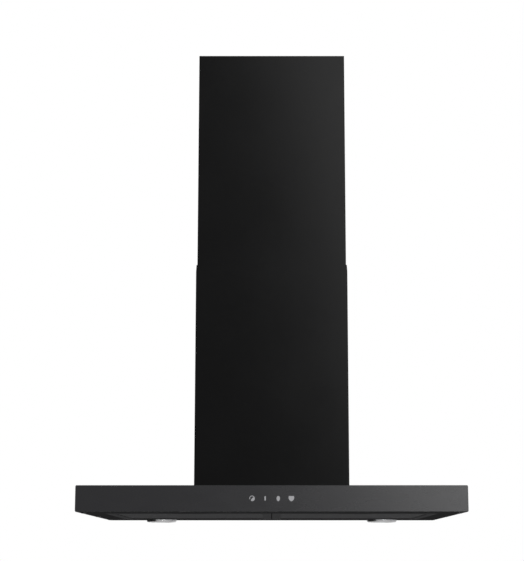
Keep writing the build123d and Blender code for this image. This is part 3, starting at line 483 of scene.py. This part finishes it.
def dome_rivets(material):
    """A flattened ball on each point, half sunk in the channel, so that a low dome shows."""
    form = Form("dome_rivets", Radius=0.0020, Rise=0.0007)
    round_ball = {"Segments": 20, "Rings": 10, "Radius": 1.0}
    ball = form.node("GeometryNodeMeshUVSphere", {}, round_ball)
    radius = form.given("Radius")
    size = form.node("ShaderNodeCombineXYZ", {}, {0: radius, 1: radius, 2: form.given("Rise")})
    placed = {"Points": form.given("Geometry"), "Instance": ball, "Scale": size}
    heads = form.node("GeometryNodeInstanceOnPoints", {}, placed)
    form.finish(heads, material)
    return form


even_grain = (500.0, 500.0, 500.0)
rivet_tone = (0.048, 0.048, 0.050)
rivet_metal = drawn_metal("blackened_rivet", rivet_tone, 0.62, even_grain, 0.25, 0.10)
rivet_form = dome_rivets(rivet_metal)
front_pair = ((0.0055, 0.0240), (0.0180, 0.0120))     # in from the side, then from the front
rear_pair = ((0.0060, 0.0140), (0.0140, 0.0060))      # in from the side, then from the rear
for side in ("left", "right"):
    low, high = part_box(f"filter_{side}_frame")
    places = []
    for x, way in ((low.x, 1), (high.x, -1)):
        places += [(x + way * inward, low.y + back, low.z) for inward, back in front_pair]
        places += [(x + way * inward, frame_rear - ahead, low.z) for inward, ahead in rear_pair]
    rivets = rivet_form.grow(f"filter_rivets_{side}", places)
    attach(rivets, f"filter_{side}")


# ---- Latches ----
# Slides moulded in black nylon with a finger bar, pushed forward by a folded steel strip.
# Their tongues rest on sprung steel strips riveted to the bottom pan.

def moulding(name, tone, roughness, grain=1400.0, depth=0.00003):
    """Moulded plastic: a fine spark-eroded grain and a slightly uneven tone."""
    plastic = Finish(name)
    clouds = plastic.noise(18.0, 3.0)
    texture = plastic.noise(grain, 2.0)
    mottle = 0.6 * clouds + 0.4 * texture
    plastic.drive("Base Color", plastic.mix(mottle, shaded(tone, 0.90), shaded(tone, 1.10)))
    plastic.drive("Roughness", roughness + 0.10 * (texture - 0.5))
    plastic.drive("Normal", plastic.relief(texture, depth, 0.6))
    return plastic.material


latch_nylon = moulding("latch_nylon", (0.020, 0.020, 0.021), 0.48)
dress(latch_nylon, "filter_left_latch", "filter_right_latch")
spring_strip = drawn_metal("spring_strip", (0.30, 0.30, 0.32), 0.30, (900.0, 40.0, 900.0))
dress(spring_strip, "filter_keepers", "lamp_clips")


# ---- Latch springs ----
# A strip of spring steel folded to and fro, with a rounded bend at each turn.
# One end presses on the latch and the other on the filter's frame.

def rounded_path(corners, radius, steps):
    """The corner points of an open path in the XY plane, with an arc of points at each turn."""
    path = [corners[0]]
    for before, corner, after in zip(corners, corners[1:], corners[2:]):
        back = (before - corner).normalized()
        ahead = (after - corner).normalized()
        half_turn = back.angle(ahead) / 2
        hub = corner + (back + ahead).normalized() * (radius / math.sin(half_turn))
        start = corner + back * (radius / math.tan(half_turn)) - hub
        end = corner + ahead * (radius / math.tan(half_turn)) - hub
        sweep = start.angle_signed(end)
        for step in range(steps + 1):
            turned = start.copy()
            turned.rotate(Matrix.Rotation(-sweep * step / steps, 2))
            path.append(hub + turned)
    path.append(corners[-1])
    return path


def placed_mesh(name, points, faces):
    """A new object with these points and faces, linked into the scene."""
    mesh = bpy.data.meshes.new(name)
    mesh.from_pydata(points, [], faces)
    holder = bpy.data.objects.new(name, mesh)
    bpy.context.collection.objects.link(holder)
    return holder


def folded_strip(name, path, thickness, low, high):
    """A strip on edge that follows a path, square at its ends."""
    last = len(path) - 1
    near_side, far_side = [], []
    for index, point in enumerate(path):
        way = (path[min(index + 1, last)] - path[max(index - 1, 0)]).normalized()
        across = Vector((-way.y, way.x)) * (thickness / 2)
        near_side.append(point + across)
        far_side.append(point - across)
    outline = near_side + far_side[::-1]
    turn = len(outline)
    points = [(corner.x, corner.y, level) for level in (low, high) for corner in outline]
    faces = []
    for index in range(turn):
        following = (index + 1) % turn
        faces.append((following, index, turn + index, turn + following))
    for index in range(last):
        far = turn - 1 - index
        faces.append((index, index + 1, far - 1, far))
        faces.append((turn + index + 1, turn + index, turn + far, turn + far - 1))
    strip = placed_mesh(name, points, faces)
    strip.data.materials.append(spring_strip)
    return strip


spring_folds = 5
spring_sheet = 0.0004
bend_radius = 0.00045
bend_steps = 5
for side in ("left", "right"):
    low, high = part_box(f"filter_{side}_latch_spring")
    middle = (low.x + high.x) / 2
    swing = (high.x - low.x - spring_sheet) / 2
    first = low.y + spring_sheet / 2
    pitch = (high.y - low.y - spring_sheet) / spring_folds
    corners = []
    for turn in range(spring_folds + 1):
        way = 1 if turn % 2 else -1
        corners.append(Vector((middle + swing * way, first + turn * pitch)))
    path = rounded_path(corners, bend_radius, bend_steps)
    spring = folded_strip(f"latch_spring_{side}", path, spring_sheet, low.z, high.z)
    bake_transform(spring)
    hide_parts(f"filter_{side}_latch_spring")


# ---- Lamps ----
# A ring spun from steel and plated in satin nickel holds an opal lens from below.
# Behind it sits a die-cast can with cooling ribs, sprung against the pan by two clips.

lamp_low, lamp_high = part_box("lamp_right_bezel")
lamp_centre = (lamp_low + lamp_high) / 2


def lamp_radius(finish):
    """Distance from the axis of the nearer lamp, in metres, the same on the left and the right."""
    x, y = finish.axes()[:2]
    across = abs(x) - lamp_centre.x
    along = y - lamp_centre.y
    return (across * across + along * along) ** 0.5


def satin_nickel():
    """Nickel with the fine rings that turning leaves, as a wave along the radius."""
    waves = 26000.0                  # radians to the metre
    groove_depth = 0.000006
    ring = Finish("satin_nickel", Metallic=1.0)
    turning = ring.maths("SINE", lamp_radius(ring) * waves)
    clouds = ring.noise(60.0, 3.0)
    ring.drive("Base Color", ring.mix(clouds, (0.50, 0.50, 0.51), (0.62, 0.62, 0.63)))
    ring.drive("Roughness", 0.31 + 0.05 * turning + 0.08 * (clouds - 0.5))
    ring.drive("Normal", ring.relief(0.5 + 0.5 * turning, groove_depth))
    return ring.material


def opal_lens():
    """Milky plastic with moulded rings that spread the light."""
    waves = 4200.0                   # radians to the metre
    rib_depth = 0.00010
    lens = Finish("opal_lens", Subsurface_Weight=0.3, Subsurface_Scale=0.002)
    ribs = lens.maths("SINE", lamp_radius(lens) * waves)
    clouds = lens.noise(40.0, 2.0)
    lens.drive("Base Color", lens.mix(clouds, (0.66, 0.66, 0.64), (0.74, 0.74, 0.72)))
    lens.drive("Roughness", 0.32 + 0.06 * (clouds - 0.5))
    lens.drive("Normal", lens.relief(0.5 + 0.5 * ribs, rib_depth))
    return lens.material


def die_cast(name, tone):
    """Cast aluminium: pitted, with the clouds that the flow of the metal leaves."""
    pit_depth = 0.00006
    cast = Finish(name, Metallic=0.8)
    pits = cast.noise(800.0, 4.0)
    flow = cast.noise(30.0, 4.0)
    cast.drive("Base Color", cast.mix(0.5 * pits + 0.5 * flow, shaded(tone, 0.75), tone))
    cast.drive("Roughness", 0.45 + 0.2 * (pits - 0.5))
    cast.drive("Normal", cast.relief(pits, pit_depth))
    return cast.material


dress(satin_nickel(), "lamp_left_bezel", "lamp_right_bezel")
dress(opal_lens(), "lamp_left_lens", "lamp_right_lens")
heat_sink = die_cast("cast_heat_sink", (0.42, 0.43, 0.45))
dress(heat_sink, "lamp_left_housing", "lamp_right_housing")


# ---- Electronics cases ----
# The lamp driver, the control box and the terminal box are pale grey flame-proof plastic.
# The capacitor is a white moulded can on a threaded stud.

case_plastic = moulding("case_plastic", (0.46, 0.46, 0.44), 0.52)
dress(case_plastic, "lamp_driver", "control_box_base", "control_box_cover", "terminal_box")
dress(moulding("capacitor_can", (0.62, 0.62, 0.60), 0.38, 300.0), "capacitor")


# ---- Leads ----
# Round leads in black PVC run along the canopy's ceiling and its side channels.
# The touch strip's flat ribbon has seven cores side by side, with the first one marked red.

def cable_sheath():
    """Black PVC with the dull, faintly uneven skin of an extrusion."""
    sheath = Finish("pvc_sheath")
    matt = sheath.noise(500.0, 3.0)
    sheath.drive("Base Color", sheath.mix(matt, (0.011, 0.011, 0.012), (0.018, 0.018, 0.019)))
    sheath.drive("Roughness", 0.48 + 0.14 * (matt - 0.5))
    sheath.drive("Normal", sheath.relief(matt, 0.00003))
    return sheath.material


def ribbon_cable():
    """Grey cores joined side by side, each with its round back, and the lowest one red."""
    cores = 7
    ridge_depth = 0.0003
    low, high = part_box("touch_lead")
    core = (high.z - low.z) / cores
    ribbon = Finish("ribbon_cable")
    height = ribbon.axes()[2] - low.z
    wave = (height % core) / core
    ridge = 1 - abs(2 * wave - 1)
    first = height < core
    ribbon.drive("Base Color", ribbon.mix(first, (0.55, 0.55, 0.53), (0.48, 0.03, 0.02)))
    ribbon.drive("Roughness", 0.42 + 0.1 * ridge)
    ribbon.drive("Normal", ribbon.relief(ridge, ridge_depth))
    return ribbon.material


dress(cable_sheath(), "control_lead", "lamp_leads", "motor_lead")
dress(ribbon_cable(), "touch_lead")


# ---- Blower box and brackets ----
# Bent from hot-dip galvanised sheet, whose zinc sets in large pale crystals.
# It carries the whole hood on the wall, so it stays unpainted behind the covers.

box_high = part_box("blower_box")[1]
weld_inset = 0.006               # in from the box's sides
weld_pitch = 0.042
weld_radius = 0.0028


def zinc_spangle(name, welded=False):
    """Zinc crystals of uneven shade with feathered edges, and spot welds down the box's seams."""
    crystals_per_metre = 125.0
    swirls_per_metre = 260.0
    edge_wander = 0.004
    weld_tone = (0.13, 0.12, 0.11)
    stain_tone = (0.40, 0.40, 0.39)
    zinc = Finish(name, Metallic=0.9)
    swirl = zinc.node("ShaderNodeTexNoise", {},
                      {"Vector": zinc.place(), "Scale": swirls_per_metre}, "Color")
    wander = zinc.node("ShaderNodeVectorMath", {"operation": "SCALE"},
                       {0: swirl, "Scale": edge_wander})
    edge = zinc.node("ShaderNodeVectorMath", {"operation": "ADD"}, {0: zinc.place(), 1: wander})
    crystals = zinc.node("ShaderNodeTexVoronoi", {"feature": "F1"},
                         {"Vector": edge, "Scale": crystals_per_metre}, "Color")
    shade = zinc.node("ShaderNodeSeparateColor", {}, {0: crystals})
    feathers = zinc.noise(700.0, 4.0, zinc.stretched((1.0, 2.5, 1.0)))
    stains = zinc.levels(zinc.noise(6.0, 4.0), (0.42, 0.0), (0.72, 1.0))
    tone = 0.60 * shade + 0.40 * feathers
    metal = zinc.mix(tone, (0.36, 0.375, 0.39), (0.52, 0.535, 0.55))
    colour = zinc.mix(0.25 * stains, metal, stain_tone)
    height = shade
    if welded:
        x, _, z = zinc.axes()
        across = abs(x) - (box_high.x - weld_inset)
        along = z % weld_pitch - weld_pitch / 2
        reach = (across * across + along * along) ** 0.5 / weld_radius
        on_back_or_front = abs(facing(zinc, 1)) > 0.7
        dent = zinc.levels(reach, (0.75, 1.0), (1.0, 0.0)) * on_back_or_front
        rim = dent * zinc.levels(reach, (0.30, 0.0), (0.70, 1.0))
        colour = zinc.mix(0.85 * rim, colour, weld_tone)
        height = shade - 8.0 * dent
    zinc.drive("Base Color", colour)
    zinc.drive("Roughness", 0.34 + 0.16 * tone + 0.10 * stains)
    zinc.drive("Normal", zinc.relief(height, 0.00002, 0.4))
    return zinc.material


dress(zinc_spangle("galvanised_box", True), "blower_box")
dress(zinc_spangle("galvanised_strip"), "chimney_bracket", "motor_bracket")


# ---- Blower housing, collar and flaps ----
# The scroll, its adapter, the collar and both flaps are moulded in black flame-proof plastic.
# The wheel is dark grey, and spins inside on the motor's shaft.

scroll_plastic = moulding("scroll_plastic", (0.030, 0.031, 0.033), 0.50, 900.0, 0.00005)
dress(scroll_plastic, "volute_left", "volute_right", "outlet_adapter")
collar_plastic = moulding("collar_plastic", (0.034, 0.035, 0.037), 0.44, 1100.0, 0.00003)
dress(collar_plastic, "duct_collar", "collar_flange", "damper_left", "damper_right",
      "cable_gland")
dress(moulding("wheel_plastic", (0.13, 0.135, 0.14), 0.50), "impeller")


# ---- Motor ----
# The can and its cap are deep-drawn steel with a clear zinc coat.
# Inside are rings of thin stacked laminations, and the ground shaft runs in two bearings.

def laminations():
    """Edges of the stacked sheets, each one's colour carrying painted shade from its lit side to
    the gap.
    """
    sheets_per_metre = 2000.0
    sheet_relief = 0.0001
    stack = Finish("laminated_iron", Metallic=0.9)
    sheets = (stack.axes()[0] * sheets_per_metre) % 1.0
    # painted shade: each sheet's colour runs from dark to light across it
    stack.drive("Base Color", stack.mix(sheets, (0.14, 0.13, 0.125), (0.26, 0.25, 0.24)))
    stack.drive("Roughness", 0.42 + 0.16 * sheets)
    stack.drive("Normal", stack.relief(sheets, sheet_relief))
    return stack.material


zinc_drawn = drawn_metal("drawn_steel", (0.40, 0.41, 0.43), 0.34, (40.0, 700.0, 700.0))
ground_steel = drawn_metal("ground_steel", (0.55, 0.55, 0.57), 0.20, (3000.0, 60.0, 60.0))
dress(zinc_drawn, "motor_can", "motor_end_cap")
dress(laminations(), "motor_rotor", "motor_stator")
dress(ground_steel, "motor_shaft", "motor_bearings", "damper_pin")


# ---- Chimney covers ----
# Two sheets of 1 mm steel folded into a U, the upper one sliding inside the lower.
# They are sprayed in a smoother, glossier black than the canopy, so they mirror the light softly.

cover_tone = (0.0024, 0.0024, 0.0025)
cover_paint = black_paint("cover_black", cover_tone, sheen=0.050, matt=0.21, dusty=0.1)
dress(cover_paint, "lower_chimney_cover", "upper_chimney_cover")


# ---- Screws ----
# Cross-head screws of headed steel wire, which hold the sheets and the mouldings together.
# They are zinc plated where they are hidden, and blackened where they show.

zinc_plate = drawn_metal("zinc_plated", (0.50, 0.50, 0.48), 0.32, even_grain)
black_zinc = drawn_metal("blackened_screw", (0.045, 0.045, 0.047), 0.38, even_grain)
dress(zinc_plate, "canopy_top_screws", "collar_screws", "volute_screws", "motor_screws")
dress(black_zinc, "underframe_screws", "upper_cover_screws")


# ---- Studio ----
# The hood hangs in a white studio with a pale floor well below it, as it would over a cooker.
# A large soft light stands in front and high to the right, and a weaker one behind to the left.

hood_low, hood_high = cad_box
hood_middle = (hood_low + hood_high) / 2
floor_drop = 1.55                # from the hood's lowest point down to the floor
card_gap = 1.1                   # from the hood's left side out to the black card


def background_rays(graph):
    """1 for rays that show the background: from the camera, off a gloss or through glass."""
    rays = graph.node("ShaderNodeLightPath").socket.node.outputs
    shown = Term(graph, rays["Is Camera Ray"])
    for label in ("Is Glossy Ray", "Is Transmission Ray"):
        shown = graph.maths("MAXIMUM", shown, Term(graph, rays[label]))
    return shown


def studio_floor():
    """A pale floor that fades into the white around it, and is clear when seen from below."""
    level = hood_low.z - floor_drop
    reach = 9.0
    fade_start = 1.6
    fade_length = 4.0
    corners = [(-reach, -reach, level), (reach, -reach, level),
               (reach, reach, level), (-reach, reach, level)]
    floor = placed_mesh("studio_floor", corners, [(0, 1, 2, 3)])
    pale = Finish("pale_floor")
    mottle = pale.noise(2.0, 3.0)
    pale.drive("Base Color", pale.mix(mottle, (0.78, 0.78, 0.77), (0.82, 0.82, 0.81)))
    pale.drive("Roughness", 0.75 + 0.1 * mottle)
    x, y = pale.axes()[:2]
    away = ((x * x + y * y) ** 0.5 - fade_start) / fade_length
    faded = pale.levels(away, (0.0, 0.0), (1.0, 1.0)) * background_rays(pale)
    below = pale.node("ShaderNodeNewGeometry", output="Backfacing")
    open_air = pale.maths("MAXIMUM", faded, below)
    solid = Term(pale, pale.shader.outputs[0])
    clear = pale.node("ShaderNodeBsdfTransparent")
    surface = pale.node("ShaderNodeMixShader", {}, {0: open_air, 1: solid, 2: clear})
    pale.feed(pale.tree.nodes["Material Output"].inputs["Surface"], surface)
    floor.data.materials.append(pale.material)


def studio_world():
    """White where it is seen or mirrored, and a weaker white where it lights the hood."""
    ambient = 0.45
    world = bpy.data.worlds.new("white_studio")
    world.use_nodes = True
    sky = Graph(world.node_tree)
    background = world.node_tree.nodes["Background"]
    sky.feed(background.inputs["Color"], (1.0, 1.0, 1.0))
    strength = ambient + (1.0 - ambient) * background_rays(sky)
    sky.feed(background.inputs["Strength"], strength)
    bpy.context.scene.world = world


def black_card():
    """A card on the left that only reflections show: it darkens the lamp rings' left ends."""
    x = hood_low.x - card_gap
    front, rear = -1.6, 2.6
    foot, head = -1.7, 0.2
    corners = [(x, front, foot), (x, rear, foot), (x, rear, head), (x, front, head)]
    card = placed_mesh("black_card", corners, [(0, 1, 2, 3)])
    felt = Finish("black_felt", Specular_IOR_Level=0.0)
    fibres = felt.noise(300.0, 2.0)
    felt.drive("Base Color", felt.mix(fibres, (0.010, 0.010, 0.010), (0.020, 0.020, 0.020)))
    card.data.materials.append(felt.material)
    card.visible_camera = False
    card.visible_diffuse = False
    card.visible_shadow = False


def soft_light(name, place, size, power, roll=0.0):
    """An oblong soft box that faces the hood's middle, rolled by so many degrees."""
    lamp = bpy.data.lights.new(name, "AREA")
    lamp.shape = "RECTANGLE"
    lamp.size, lamp.size_y = size
    lamp.energy = power
    holder = bpy.data.objects.new(name, lamp)
    holder.location = place
    turn = (hood_middle - Vector(place)).to_track_quat("-Z", "Y")
    roll_turn = Quaternion((0.0, 0.0, 1.0), math.radians(roll))
    holder.rotation_euler = (turn @ roll_turn).to_euler()
    bpy.context.collection.objects.link(holder)


studio_floor()
studio_world()
black_card()
soft_light("key_light", place=(1.02, -3.2, 1.12), size=(1.7, 2.8), power=118.0, roll=9.0)
soft_light("rim_light", place=(-0.6, 2.4, 1.6), size=(2.4, 1.6), power=26.0)


# ---- Camera ----
# A long lens low in front of the hood, just under its canopy and tilted up a little.
# Its place was worked out from the edges of the covers and of the canopy's front.

camera_back = 2.2443             # in front of the canopy's face
camera_drop = 0.0718             # below the canopy's underside
camera_tilt = 10.556             # degrees above level
focal_pixels = 1457.6
picture_width = 524
picture_height = 561
axis_column = 271.7              # where the hood's middle plane falls in the picture
axis_row = 288.0                 # the row that looks straight along the lens
sensor_width = 36.0

view = bpy.data.cameras.new("camera")
view.sensor_width = sensor_width
view.lens = sensor_width * focal_pixels / picture_height
view.shift_x = (picture_width / 2 - axis_column) / picture_height
view.shift_y = (axis_row - picture_height / 2) / picture_height
camera = bpy.data.objects.new("camera", view)
canopy_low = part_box("canopy_shell")[0]
face_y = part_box("front_panel")[0].y
camera.location = (0.0, face_y - camera_back, canopy_low.z - camera_drop)
camera.rotation_euler = (math.radians(90.0 + camera_tilt), 0.0, 0.0)
bpy.context.collection.objects.link(camera)
bpy.context.scene.camera = camera
bpy.context.scene.view_settings.view_transform = "Standard"
